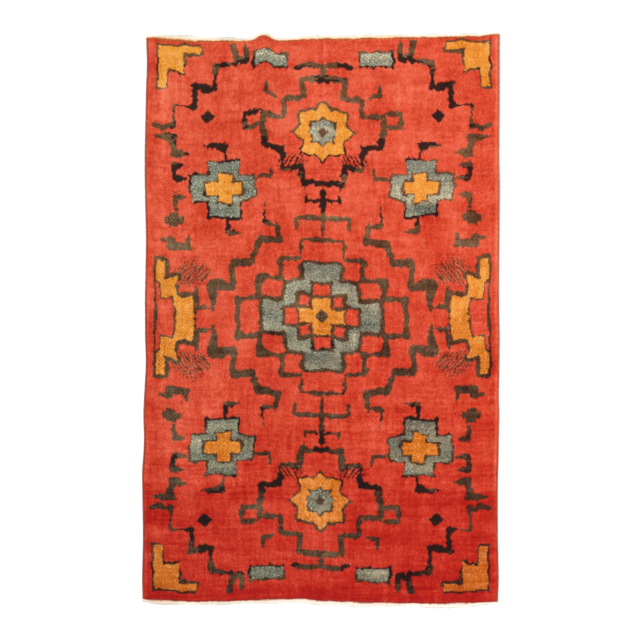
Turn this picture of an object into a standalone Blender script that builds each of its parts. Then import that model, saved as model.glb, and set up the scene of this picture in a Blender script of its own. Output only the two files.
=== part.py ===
# Hand-knotted wool rug, about 1.53 x 2.46 m, lying open on a flat floor.
# +X runs across the rug, +Y along its warps to the end with the ripple, +Z up.
# Sizes are in millimetres in the tables and constants, and become metres in the meshes.
import bmesh
import bpy
import numpy as np

MM = 0.001

# Driving sizes, mm
HALF_WIDTH = 757.0  # nominal, from the middle to the inside of a selvedge
HALF_LENGTH = 1205.0  # nominal, from the middle to the end of the pile
PILE_THICKNESS = 9.0  # woven foundation and cut pile together
RIM_WIDTH = 7.0  # the pile leans outwards and thins over this width at its rim
RIM_SHARE = 0.55  # of the thickness that is left at the very rim
SELVEDGE_DIAMETER = 7.4  # overcast cord along each side
WOVEN_THICKNESS = 2.4  # flat-woven end strip
SIDE_GAP = 0.3  # between the pile and each selvedge
END_GAP = 0.45  # along Y between the pile and each woven end, whose line is partly slanted
COLUMN_PITCH = 80.0  # spacing of the mesh lines where nothing bends
ROW_PITCH = 76.0
CLOSEST_LINES = 6.5  # of two mesh lines nearer than this, the second is left out
BEND_LINES = np.array([-1.0, -0.5, 0.0, 0.5, 1.0])  # mesh lines over a bend, in shares of its reach
WANDER = 11.0  # radians of its sideways wander that a ridge goes through from end to end
COCKLE = 1.4  # how far the woven strips' outer edges cockle upwards
COCKLE_WAVES = (61.0, 23.0)  # lengths of the cockling's long and short waves, over two pi
SHARP_ANGLE = 0.7  # radians, above which an edge is shaded sharp

# Long edges: outer edge of the left and right selvedge at stations along the length
SIDES = np.array(
    [
        (-1230, -764, 757),
        (-1115, -766, 762),
        (-944, -762, 758),
        (-687, -766, 758),
        (-640, -765, 759),
        (-600, -761, 761),
        (-516, -757, 762),
        (-430, -762, 762),
        (-345, -757, 762),
        (-173, -749, 764),
        (83, -753, 762),
        (340, -749, 766),
        (555, -753, 765),
        (683, -757, 762),
        (854, -749, 766),
        (1230, -749, 766),
    ],
    dtype=[("y", float), ("left", float), ("right", float)],
)

# Short edges: where the pile stops and where the woven strip stops, at stations across
FAR_END = np.array(
    [
        (-757, 1211, 1220),
        (-685, 1203, 1220),
        (-616, 1198, 1220),
        (-514, 1194, 1211),
        (-377, 1194, 1211),
        (-308, 1198, 1214),
        (-274, 1211, 1227),
        (-248, 1220, 1231),
        (-214, 1206, 1220),
        (-180, 1198, 1207),
        (-103, 1203, 1215),
        (-34, 1203, 1220),
        (103, 1203, 1220),
        (223, 1207, 1222),
        (445, 1211, 1224),
        (582, 1213, 1224),
        (685, 1216, 1228),
        (757, 1225, 1232),
    ],
    dtype=[("x", float), ("pile", float), ("strip", float)],
)
NEAR_END = np.array(
    [
        (-757, -1196, -1203),
        (-735, -1198, -1215),
        (-650, -1200, -1220),
        (-548, -1207, -1220),
        (-342, -1203, -1216),
        (-205, -1195, -1215),
        (-68, -1195, -1209),
        (-17, -1202, -1220),
        (68, -1205, -1218),
        (137, -1207, -1228),
        (240, -1211, -1230),
        (342, -1211, -1228),
        (394, -1213, -1222),
        (479, -1215, -1232),
        (582, -1211, -1232),
        (650, -1211, -1228),
        (685, -1209, -1220),
        (757, -1207, -1212),
    ],
    dtype=[("x", float), ("pile", float), ("strip", float)],
)

# Folds and ripples that lift the rug off the floor, each a soft ridge from one point to another.
# reach is the ridge's half width; a fade is the share of its length over which it dies out.
RIDGES = np.array(
    [
        ("lengthwise fold", 3, -1250, -4, 1250, 2.6, 27, 0.0, 0.0, 6),
        ("right fold", 158, -520, 162, 130, 1.9, 24, 0.35, 0.35, 3),
        ("upper right fold", 192, 480, 189, 1070, 1.8, 24, 0.3, 0.4, 3),
        ("cross fold", -800, -617, -180, -634, 3.4, 30, 0.0, 0.5, 4),
        ("cross fold, right", 330, -640, 800, -622, 1.6, 30, 0.5, 0.0, 4),
        ("upper band", -800, 655, 800, 628, 1.3, 45, 0.0, 0.0, 5),
        ("middle band", -800, 92, 800, 78, 1.1, 45, 0.0, 0.0, 5),
        ("ripple at the end", -238, 920, -248, 1245, 11.0, 52, 0.85, 0.0, 0),
    ],
    dtype=[
        ("name", "U24"),
        ("x0", float),
        ("y0", float),
        ("x1", float),
        ("y1", float),
        ("height", float),
        ("reach", float),
        ("fade0", float),
        ("fade1", float),
        ("wander", float),
    ],
)

# Colours as linear RGB, with roughness
MATERIALS = {
    "wool_pile": ((0.59, 0.075, 0.035), 0.95),
    "wool_overcast": ((0.52, 0.10, 0.06), 0.9),
    "cotton_weave": ((0.84, 0.76, 0.62), 0.9),
}


def clear_scene():
    for item in list(bpy.data.objects):
        bpy.data.objects.remove(item, do_unlink=True)


def make_material(name):
    colour, roughness = MATERIALS[name]
    material = bpy.data.materials.new(name)
    material.use_nodes = True
    shader = material.node_tree.nodes["Principled BSDF"]
    shader.inputs["Base Color"].default_value = (*colour, 1.0)
    shader.inputs["Roughness"].default_value = roughness
    shader.inputs["Metallic"].default_value = 0.0
    return material


def smooth_step(t):
    t = np.clip(t, 0.0, 1.0)
    return t * t * (3.0 - 2.0 * t)


def lift(x, y):
    # Height of the rug's underside over the floor. Each ridge is a cosine bell across its line,
    # fades towards its ends, and its line wanders a little from straight.
    total = np.zeros(np.broadcast(x, y).shape)
    for ridge in RIDGES:
        run_x, run_y = ridge["x1"] - ridge["x0"], ridge["y1"] - ridge["y0"]
        length = np.hypot(run_x, run_y)
        along = ((x - ridge["x0"]) * run_x + (y - ridge["y0"]) * run_y) / length**2
        across = ((x - ridge["x0"]) * run_y - (y - ridge["y0"]) * run_x) / length
        across = across - ridge["wander"] * np.sin(WANDER * along)
        bell = 0.5 + 0.5 * np.cos(np.pi * np.clip(across / ridge["reach"], -1.0, 1.0))
        start = smooth_step(along / ridge["fade0"]) if ridge["fade0"] else 1.0
        end = smooth_step((1.0 - along) / ridge["fade1"]) if ridge["fade1"] else 1.0
        total = total + ridge["height"] * bell * start * end
    return total


def mesh_lines(half, pitch, bend_list):
    # Places of the mesh lines on one axis: five lines over each bend, which is a (middle, reach)
    # pair, a line inside each rim, and lines at an even pitch wherever those leave room.
    fixed = [-half, -half + RIM_WIDTH, half - RIM_WIDTH, half]
    for middle, reach in bend_list:
        fixed.extend(middle + reach * BEND_LINES)
    fixed = sorted(line for line in fixed if abs(line) <= half)
    lines = [fixed[0]]
    for line in fixed[1:]:
        if line - lines[-1] >= CLOSEST_LINES:
            lines.append(line)
    even = np.linspace(-half, half, int(np.ceil(2 * half / pitch)) + 1)
    room = pitch / 2.5
    lines += [line for line in even if min(abs(line - other) for other in fixed) > room]
    return np.array(sorted(lines))


def bends(axis):
    # Middle and reach, on the named axis, of each ridge that the mesh lines of that axis cross.
    # The right half of the cross fold lies on the lines of its left half, so it adds none.
    other = "y" if axis == "x" else "x"
    found = []
    for ridge in RIDGES:
        run = abs(ridge[axis + "1"] - ridge[axis + "0"])
        if run < abs(ridge[other + "1"] - ridge[other + "0"]) and ridge["name"] != "cross fold, right":
            found.append((ridge[axis + "0"] / 2 + ridge[axis + "1"] / 2, ridge["reach"]))
    return found


def side_inside(side, y):
    # x of the line between the pile and the selvedge on one side
    inset = SELVEDGE_DIAMETER + SIDE_GAP
    edge = np.interp(y, SIDES["y"], SIDES[side])
    return edge + inset if side == "left" else edge - inset


def field_points(columns, rows):
    # Plan of the pile: the nominal rectangle is stretched so that its sides follow the
    # selvedges and its ends follow the woven strips.
    column, row = np.meshgrid(columns, rows, indexing="ij")
    left, right = side_inside("left", row), side_inside("right", row)
    share = (column + HALF_WIDTH) / (2 * HALF_WIDTH)
    x = left + (right - left) * share
    near = np.interp(column, NEAR_END["x"], NEAR_END["pile"])
    far = np.interp(column, FAR_END["x"], FAR_END["pile"])
    y = near + (far - near) * (row + HALF_LENGTH) / (2 * HALF_LENGTH)
    return x, y


def sheet_object(name, x, y, z, thickness, material, thin_rim=None):
    # A cloth sheet: a grid whose points take the given places, the underside, made solid
    # upwards. thin_rim is the share of the thickness that the outermost points keep.
    columns, rows = x.shape
    work = bmesh.new()
    bmesh.ops.create_grid(work, x_segments=columns - 1, y_segments=rows - 1, size=0.5)
    for vertex in work.verts:
        column = round((vertex.co.x + 0.5) * (columns - 1))
        row = round((vertex.co.y + 0.5) * (rows - 1))
        vertex.co = (x[column, row] * MM, y[column, row] * MM, z[column, row] * MM)
    inner = [v.index for v in work.verts if not v.is_boundary]
    mesh = bpy.data.meshes.new(name)
    work.to_mesh(mesh)
    work.free()
    item = bpy.data.objects.new(name, mesh)
    mesh.materials.append(material)
    solid = item.modifiers.new("thickness", "SOLIDIFY")
    solid.thickness = thickness * MM
    solid.offset = 1.0
    if thin_rim is not None:
        group = item.vertex_groups.new(name="full thickness")
        group.add(inner, 1.0, "REPLACE")
        solid.vertex_group = group.name
        solid.thickness_vertex_group = thin_rim
    mesh.shade_smooth()
    mesh.set_sharp_from_angle(angle=SHARP_ANGLE)
    return item


def make_pile(columns, rows, material):
    x, y = field_points(columns, rows)
    return sheet_object("pile_field", x, y, lift(x, y), PILE_THICKNESS, material, RIM_SHARE)


def make_woven_end(name, columns, rows, material):
    # Flat-woven strip past the pile: three lines of points, from the pile's end to the
    # strip's own outer edge, which lifts a little where the cloth cockles.
    far = name.endswith("far")
    table = FAR_END if far else NEAR_END
    fine = np.sort(np.concatenate([columns, (columns[1:] + columns[:-1]) / 2]))
    x_lines, y_lines = field_points(columns, rows)
    end = -1 if far else 0
    x = np.interp(fine, columns, x_lines[:, end])
    start = np.interp(fine, columns, y_lines[:, end]) + (END_GAP if far else -END_GAP)
    stop = np.interp(fine, table["x"], table["strip"])
    share = np.array([0.0, 0.5, 1.0]) if far else np.array([1.0, 0.5, 0.0])
    x = np.repeat(x[:, None], 3, axis=1)
    y = start[:, None] + (stop - start)[:, None] * share
    long_wave, short_wave = (np.sin(fine / wave) for wave in COCKLE_WAVES)
    cockle = COCKLE * np.clip(long_wave + 0.6 * short_wave - 0.5, 0.0, 1.0)
    z = lift(x, y) + cockle[:, None] * share**2
    return sheet_object(name, x, y, z, WOVEN_THICKNESS, material)


def make_selvedge(side, rows, material):
    # Overcast cord beside the pile, a round tube that lies on the floor and rises with the
    # folds. It runs on past the pile beside the woven strips, but not at the left near corner.
    columns = np.array([-HALF_WIDTH if side == "left" else HALF_WIDTH])
    x, y = (line[0] for line in field_points(columns, rows))
    radius = SELVEDGE_DIAMETER / 2
    outwards = -1.0 if side == "left" else 1.0
    far_stop = np.interp(columns[0], FAR_END["x"], FAR_END["strip"])
    near_stop = np.interp(columns[0], NEAR_END["x"], NEAR_END["strip"])
    x = np.concatenate([x[:1], x, x[-1:]]) + outwards * (radius + SIDE_GAP)
    y = np.concatenate([[near_stop], y, [far_stop]])
    z = lift(x, y) + radius
    curve = bpy.data.curves.new("selvedge_" + side, "CURVE")
    curve.dimensions = "3D"
    curve.bevel_depth = radius * MM
    curve.bevel_resolution = 2
    curve.use_fill_caps = True
    spline = curve.splines.new("POLY")
    spline.points.add(len(x) - 1)
    for point, place in zip(spline.points, np.stack([x, y, z], axis=1) * MM, strict=True):
        point.co = (*place, 1.0)
    item = bpy.data.objects.new("selvedge_" + side, curve)
    curve.materials.append(material)
    return item


def centre_on_floor(items, carrier):
    # Moves the whole rug so that the middle of its bounding box is over the origin.
    graph = bpy.context.evaluated_depsgraph_get()
    corners = []
    for item in items:
        shaped = item.evaluated_get(graph)
        mesh = shaped.to_mesh()
        places = np.empty(len(mesh.vertices) * 3)
        mesh.vertices.foreach_get("co", places)
        corners.append(places.reshape(-1, 3))
        shaped.to_mesh_clear()
    points = np.concatenate(corners)
    middle = (points.min(axis=0) + points.max(axis=0)) / 2
    carrier.location = (-middle[0], -middle[1], 0.0)


def build():
    clear_scene()
    rug = bpy.data.collections.new("knotted_rug")
    bpy.context.scene.collection.children.link(rug)
    pile = make_material("wool_pile")
    overcast = make_material("wool_overcast")
    cotton = make_material("cotton_weave")
    columns = mesh_lines(HALF_WIDTH, COLUMN_PITCH, bends("x"))
    rows = mesh_lines(HALF_LENGTH, ROW_PITCH, bends("y"))
    items = [
        make_pile(columns, rows, pile),
        make_woven_end("woven_end_far", columns, rows, cotton),
        make_woven_end("woven_end_near", columns, rows, cotton),
        make_selvedge("left", rows, overcast),
        make_selvedge("right", rows, overcast),
    ]
    carrier = bpy.data.objects.new("rug", None)
    rug.objects.link(carrier)
    for item in items:
        rug.objects.link(item)
        item.parent = carrier
    bpy.context.view_layer.update()
    centre_on_floor(items, carrier)
    bpy.context.view_layer.update()


build()
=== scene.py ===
import bpy
import numpy as np
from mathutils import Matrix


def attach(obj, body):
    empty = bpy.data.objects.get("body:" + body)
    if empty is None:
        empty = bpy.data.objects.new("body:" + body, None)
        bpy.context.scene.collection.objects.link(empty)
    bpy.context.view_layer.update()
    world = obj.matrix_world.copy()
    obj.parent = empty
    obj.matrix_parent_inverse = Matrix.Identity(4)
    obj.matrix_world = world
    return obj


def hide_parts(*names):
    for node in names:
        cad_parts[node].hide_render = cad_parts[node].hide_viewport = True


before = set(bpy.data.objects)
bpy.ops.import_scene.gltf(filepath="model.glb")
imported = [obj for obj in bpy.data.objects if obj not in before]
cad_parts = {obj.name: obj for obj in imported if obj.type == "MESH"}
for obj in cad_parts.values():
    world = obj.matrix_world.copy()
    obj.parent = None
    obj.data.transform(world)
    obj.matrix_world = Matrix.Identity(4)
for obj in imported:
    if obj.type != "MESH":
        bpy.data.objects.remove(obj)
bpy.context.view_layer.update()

metres = 0.001
latticeSize = (97, 89)  # random values across and along, after which a noise repeats
latticeShift = (41.37, 37.71)
darkest = 0.02  # no dye shows darker than this sRGB share


# Colour, noise and mesh helpers

def toLinear(values):
    # sRGB shares from 0 to 1 turned to linear light
    values = np.asarray(values, float)
    return np.where(values <= 0.04045, values / 12.92, ((values + 0.055) / 1.055) ** 2.4)


def shade(hexColour):
    # "#d94d37" as three sRGB shares
    return np.array([int(hexColour[i:i + 2], 16) / 255 for i in (1, 3, 5)])


def dyedLinear(colours):
    # sRGB shares kept between the darkest dye and white, as linear light
    return toLinear(np.clip(colours, darkest, 1))


def paint(hexColour):
    # the same colour as a shader socket takes it
    return (*toLinear(shade(hexColour)), 1.0)


def smoothStep(low, high, value):
    # 0 up to the first value and 1 from the second, eased between
    t = np.clip((value - low) / (high - low), 0.0, 1.0)
    return t * t * (3.0 - 2.0 * t)


def softNoise(x, y, sizeX, sizeY, seed):
    # Random values from -1 to 1 on a lattice of that size in mm, blended smoothly between
    table = np.random.default_rng(seed).uniform(-1, 1, latticeSize)
    gridX, gridY = x / sizeX + latticeShift[0], y / sizeY + latticeShift[1]
    column, row = np.floor(gridX).astype(int), np.floor(gridY).astype(int)
    fx, fy = gridX - column, gridY - row
    fx, fy = fx * fx * (3 - 2 * fx), fy * fy * (3 - 2 * fy)

    def corner(stepX, stepY):
        return table[(column + stepX) % latticeSize[0], (row + stepY) % latticeSize[1]]

    near, far = (corner(0, step) * (1 - fx) + corner(1, step) * fx for step in (0, 1))
    return near * (1 - fy) + far * fy


def layered(x, y, layers):
    # Soft noises added up, each given by its reach, its size across and along, and its seed
    return sum(reach * softNoise(x, y, sizeX, sizeY, seed) for reach, sizeX, sizeY, seed in layers)


def wavering(places, *layers):
    # The same along a line, each noise given by its reach, its size and its seed
    return sum(reach * softNoise(places, 0 * places, size, size, seed) for reach, size, seed in layers)


def addNode(tree, kind, inputs=(), **settings):
    # Adds a shader node, gives it its settings, and sets or links its inputs. A node given for an
    # input stands for its first output.
    node = tree.nodes.new("ShaderNode" + kind)
    for name, value in settings.items():
        setattr(node, name, value)
    for name, value in dict(inputs).items():
        if isinstance(value, bpy.types.Node):
            value = value.outputs[0]
        if isinstance(value, bpy.types.NodeSocket):
            tree.links.new(value, node.inputs[name])
        else:
            node.inputs[name].default_value = value
    return node


def newMaterial(name):
    # A material with an empty node tree
    material = bpy.data.materials.new(name)
    material.use_nodes = True
    material.node_tree.nodes.clear()
    return material, material.node_tree


def finishYarn(tree, colour, tone, height, bump, shader):
    # What all yarns share: a colour times a tone, a bump from a height (its distance is in
    # metres), and a matt surface
    toned = addNode(tree, "HueSaturation", {"Color": colour, "Value": tone})
    relief = addNode(tree, "Bump", {"Height": height, **bump})
    surface = addNode(tree, "BsdfPrincipled", {"Base Color": toned, "Normal": relief, **shader})
    addNode(tree, "OutputMaterial", {"Surface": surface})


def newPiece(name, points, faces, material, uv=None):
    # points (n, 3) in mm, faces (m, 3 or 4) as rows of point numbers, uv (n, 2) in mm of flat cloth
    mesh = bpy.data.meshes.new(name)
    mesh.vertices.add(len(points))
    mesh.vertices.foreach_set("co", (points * metres).astype(np.float32).ravel())
    mesh.loops.add(faces.size)
    mesh.loops.foreach_set("vertex_index", faces.astype(np.int32).ravel())
    mesh.polygons.add(len(faces))
    mesh.polygons.foreach_set("loop_start", np.arange(0, faces.size, faces.shape[1], dtype=np.int32))
    if uv is not None:
        layer = mesh.uv_layers.new(name="flatCloth")
        layer.uv.foreach_set("vector", (uv * metres)[faces.ravel()].astype(np.float32).ravel())
    mesh.update(calc_edges=True)
    mesh.validate()
    mesh.shade_smooth()
    mesh.materials.append(material)
    piece = bpy.data.objects.new(name, mesh)
    bpy.context.scene.collection.objects.link(piece)
    return piece


def pointRows(*grids):
    # Grids of coordinates as one row for each point
    return np.stack(grids, axis=-1).reshape(-1, len(grids))


def gridFaces(columns, rows, closedAcross=False):
    # Four-sided faces between the points of a grid that is numbered row by row
    across = np.arange(columns if closedAcross else columns - 1)
    corner = (np.arange(rows - 1)[:, None] * columns + across[None, :]).ravel()
    right = (np.arange(rows - 1)[:, None] * columns + ((across + 1) % columns)[None, :]).ravel()
    return np.stack([corner, right, right + columns, corner + columns], axis=1)


def fourCorners(grid):
    # A grid's values at the four corners of each of its squares, going round
    return grid[:-1, :-1], grid[:-1, 1:], grid[1:, 1:], grid[1:, :-1]


def giveAttribute(piece, name, kind, domain, values):
    # Values for a material to read, one for each point or face corner
    attribute = piece.data.attributes.new(name, kind, domain)
    field = {"FLOAT": "value", "FLOAT_VECTOR": "vector", "FLOAT_COLOR": "color"}[kind]
    attribute.data.foreach_set(field, np.ascontiguousarray(values, np.float32).ravel())


def tintPoints(piece, name, colours):
    # Linear colours (n, 3), one for each point
    giveAttribute(piece, name, "FLOAT_COLOR", "POINT", np.column_stack([colours, np.ones(len(colours))]))


# The rug's plan and folds. They are the solids' own, with the outline's places brought a few
# millimetres closer to the photo, and old fold lines added that have no height.

rug = {
    "halfWidth": 757.0,  # nominal, to the inside of a selvedge
    "halfLength": 1205.0,  # nominal, to the end of the pile
    "thickness": 9.0,  # woven foundation and cut pile together
    "cord": 7.4,  # selvedge
    "weave": 2.4,  # flat-woven end
    "sideGap": 0.3,
    "softened": 28.0,  # the outline's stations are joined with bends this soft
    "foldBends": 11.0,  # radians that a fold's line sways through over its length
    "creaseReach": 5.0,
    "pileMoved": {"far": -3.6, "near": 2.4},  # the pile's ends lie inside the tables' lines
    # and stray from them: reach, size along the edge, seed
    "pileWaver": {"far": ((1.5, 24, 93), (0.9, 8, 94)), "near": ((1.5, 24, 91), (0.9, 8, 92))},
}
outwards = {"far": 1.0, "near": -1.0, "right": 1.0, "left": -1.0}  # along y, and along x

sides = np.array(
    [
        (-1230, -764, 757), (-1115, -766, 762), (-944, -762, 758), (-687, -766, 758), (-640, -765, 759),
        (-600, -761, 761), (-516, -757, 762), (-411, -761, 765), (-345, -758, 762), (-190, -749, 765),
        (-90, -753, 766), (83, -754, 763), (340, -749, 765), (555, -754, 767), (683, -755, 764),
        (854, -752, 766), (990, -749, 766), (1085, -745, 766), (1230, -749, 766),
    ],
    dtype=[("y", float), ("left", float), ("right", float)],
)
endColumns = [("x", float), ("pile", float), ("strip", float)]
ends = {
    "far": np.array(
        [
            (-757, 1211, 1220), (-685, 1203, 1220), (-616, 1194, 1220), (-514, 1193, 1211),
            (-377, 1195, 1209), (-324, 1196, 1204), (-297, 1194, 1208), (-277, 1213, 1228),
            (-258, 1237, 1242), (-236, 1213, 1222), (-210, 1192, 1211), (-174, 1197, 1206),
            (-103, 1202, 1214), (-34, 1203, 1220), (103, 1203, 1220), (223, 1207, 1222),
            (445, 1211, 1224), (582, 1213, 1224), (685, 1216, 1228), (757, 1225, 1232),
        ],
        dtype=endColumns,
    ),
    "near": np.array(
        [
            (-757, -1196, -1203), (-735, -1198, -1215), (-650, -1200, -1220), (-548, -1207, -1220),
            (-342, -1203, -1216), (-205, -1195, -1215), (-68, -1195, -1209), (-17, -1202, -1220),
            (68, -1205, -1218), (137, -1207, -1228), (240, -1211, -1230), (342, -1211, -1228),
            (394, -1213, -1222), (479, -1215, -1232), (582, -1211, -1232), (650, -1211, -1228),
            (685, -1209, -1220), (757, -1207, -1212),
        ],
        dtype=endColumns,
    ),
}

# Each fold is a soft ridge from one point to another; a fade is the share over which it dies out
folds = np.array(
    [
        # x0, y0, x1, y1, height, reach, fade0, fade1, wander, crease
        (3, -1250, -4, 1250, 2.6, 27, 0.0, 0.0, 6, 0.3),
        (158, -520, 162, 130, 1.9, 24, 0.35, 0.35, 3, 0.2),
        (192, 480, 189, 1070, 1.8, 24, 0.3, 0.4, 3, 0.0),
        (-800, -617, -180, -634, 3.4, 30, 0.0, 0.5, 4, 0.8),
        (330, -640, 800, -622, 1.6, 30, 0.5, 0.0, 4, 0.4),
        (-800, 655, 800, 628, 1.3, 45, 0.0, 0.0, 5, 0.2),
        (-800, 92, 800, 78, 1.1, 45, 0.0, 0.0, 5, 0.15),
        (-238, 920, -248, 1245, 11.0, 52, 0.85, 0.0, 0, 0.0),  # the ripple
        # old fold lines with no height left, where the pile parts and painted shade runs along the crease
        (-9, 620, -8, 1240, 0.0, 20, 0.3, 0.0, 2, 0.6),
        (-14, -130, -12, 110, 0.0, 20, 0.4, 0.4, 2, 0.7),
        (-40, -1190, -34, -900, 0.0, 20, 0.2, 0.4, 2, 0.5),
        (-314, -200, -322, -950, 0.0, 20, 0.2, 0.2, 3, 0.6),
        (218, 540, 214, 960, 0.0, 20, 0.3, 0.3, 2, 0.7),
        (153, 540, 158, 940, 0.0, 20, 0.3, 0.3, 2, 0.6),
        (153, -400, 149, 240, 0.0, 20, 0.3, 0.3, 2, 0.6),
        (-620, -893, -290, -897, 0.0, 20, 0.3, 0.3, 2, 0.6),
        (-310, 636, 70, 632, 0.0, 20, 0.3, 0.3, 2, 0.7),
        (-200, -622, 210, -612, 0.0, 20, 0.2, 0.4, 2, 0.5),
    ],
    dtype=[(name, float) for name in "x0 y0 x1 y1 height reach fade0 fade1 wander crease".split()],
)


def softLine(table, along, column, places):
    # The table's line, averaged over a short stretch so that its bends are rounded
    offsets = np.linspace(-1, 1, 9) * rug["softened"]
    return np.mean([np.interp(places + d, table[along], table[column]) for d in offsets], axis=0)


def foldShape(fold, x, y):
    # Distance from a fold's line, which wanders as a sine, and how much of the fold is left there
    runX, runY = fold["x1"] - fold["x0"], fold["y1"] - fold["y0"]
    length = np.hypot(runX, runY)
    along = ((x - fold["x0"]) * runX + (y - fold["y0"]) * runY) / length**2
    across = ((x - fold["x0"]) * runY - (y - fold["y0"]) * runX) / length
    across = across - fold["wander"] * np.sin(rug["foldBends"] * along)
    remains = np.ones_like(along)
    for fade, fromEnd in ((fold["fade0"], along), (fold["fade1"], 1 - along)):
        if fade:
            remains = remains * smoothStep(0, fade, fromEnd)
    return across, remains


def lift(x, y):
    # Height of the rug's underside: a cosine bell across each fold
    total = np.zeros(np.broadcast(x, y).shape)
    for fold in folds:
        across, remains = foldShape(fold, x, y)
        bell = 0.5 + 0.5 * np.cos(np.pi * np.clip(across / fold["reach"], -1, 1))
        total += fold["height"] * remains * bell
    return total


def crease(x, y):
    # 1 on a fold's sharp line, where the pile parts, and 0 a few millimetres off it
    total = np.zeros(np.broadcast(x, y).shape)
    for fold in folds:
        across, remains = foldShape(fold, x, y)
        sharp = np.exp(-((across / rug["creaseReach"]) ** 2))
        total = np.maximum(total, fold["crease"] * remains * sharp)
    return total


def pileEnd(end, column):
    # Where the pile stops: the table's line, moved in and wavering from knot to knot
    line = softLine(ends[end], "x", "pile", column) + rug["pileMoved"][end]
    return line + wavering(column, *rug["pileWaver"][end])


def plan(column, row):
    # The nominal rectangle stretched so that its sides follow the selvedges and its ends the weave
    inset = rug["cord"] + rug["sideGap"]
    left = softLine(sides, "y", "left", row) + inset
    right = softLine(sides, "y", "right", row) - inset
    near, far = pileEnd("near", column), pileEnd("far", column)
    x = left + (right - left) * (column + rug["halfWidth"]) / (2 * rug["halfWidth"])
    y = near + (far - near) * (row + rug["halfLength"]) / (2 * rug["halfLength"])
    return x, y


# Camera, floor and light

view = {
    "frame": 2739.0,  # width of floor that the picture spans
    "centre": (-4.3, 0.0),
    "lens": 85.0,
    "sensor": 36.0,
    "dome": 0.89,  # light from all round
    "lamp": 0.32,  # light from one side
    "lampSpread": 50.0,  # degrees
    "lampTilt": (34.0, -30.0),  # degrees from straight above, and round to the far left
    "floor": ("#f6f5f3", "#f8f7f5"),
    "floorReach": 150000.0,
    "floorDrop": 0.3,  # so that the back doesn't lie in it
    "backlight": 0.14,
}


def buildStudio():
    # The camera looks straight down. Light comes from all round, with a broad lamp from one side.
    scene = bpy.context.scene
    scene.view_settings.view_transform = "Standard"
    camera = bpy.data.objects.new("camera", bpy.data.cameras.new("camera"))
    camera.data.lens = view["lens"]
    camera.data.sensor_width = view["sensor"]
    camera.data.clip_end = 1000.0
    height = view["frame"] * metres * view["lens"] / view["sensor"]
    camera.location = (view["centre"][0] * metres, view["centre"][1] * metres, height)
    scene.collection.objects.link(camera)
    scene.camera = camera

    world = bpy.data.worlds.new("studio")
    world.use_nodes = True
    world.node_tree.nodes["Background"].inputs["Color"].default_value = (1, 1, 1, 1)
    world.node_tree.nodes["Background"].inputs["Strength"].default_value = view["dome"]
    scene.world = world

    lamp = bpy.data.objects.new("softLamp", bpy.data.lights.new("softLamp", "SUN"))
    lamp.data.energy = view["lamp"] * np.pi
    lamp.data.angle = np.radians(view["lampSpread"])
    lamp.rotation_euler = (0, np.radians(-view["lampTilt"][0]), np.radians(view["lampTilt"][1]))
    scene.collection.objects.link(lamp)

    # Backlit white acrylic: plain, so that nothing but the rug's faint shadow shows on it
    material, tree = newMaterial("backlit white acrylic")
    grain = addNode(tree, "TexNoise", {"Scale": 3.0})
    tones = [paint(colour) for colour in view["floor"]]
    tone = addNode(tree, "Mix", {"Factor": grain, 6: tones[0], 7: tones[1]}, data_type="RGBA")
    surface = addNode(
        tree, "BsdfPrincipled",
        {
            "Base Color": tone.outputs[2], "Roughness": 0.95, "Emission Color": (1, 1, 1, 1),
            "Emission Strength": view["backlight"],
        },
    )
    addNode(tree, "OutputMaterial", {"Surface": surface})
    half, low = view["floorReach"], -view["floorDrop"]
    corners = np.array([(-half, -half, low), (half, -half, low), (half, half, low), (-half, half, low)])
    floor = newPiece("floor", corners, np.array([[0, 1, 2, 3]]), material)
    print("studio ready")


# The pattern: a generic stepped medallion, charted for one quarter and woven in all four

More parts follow.
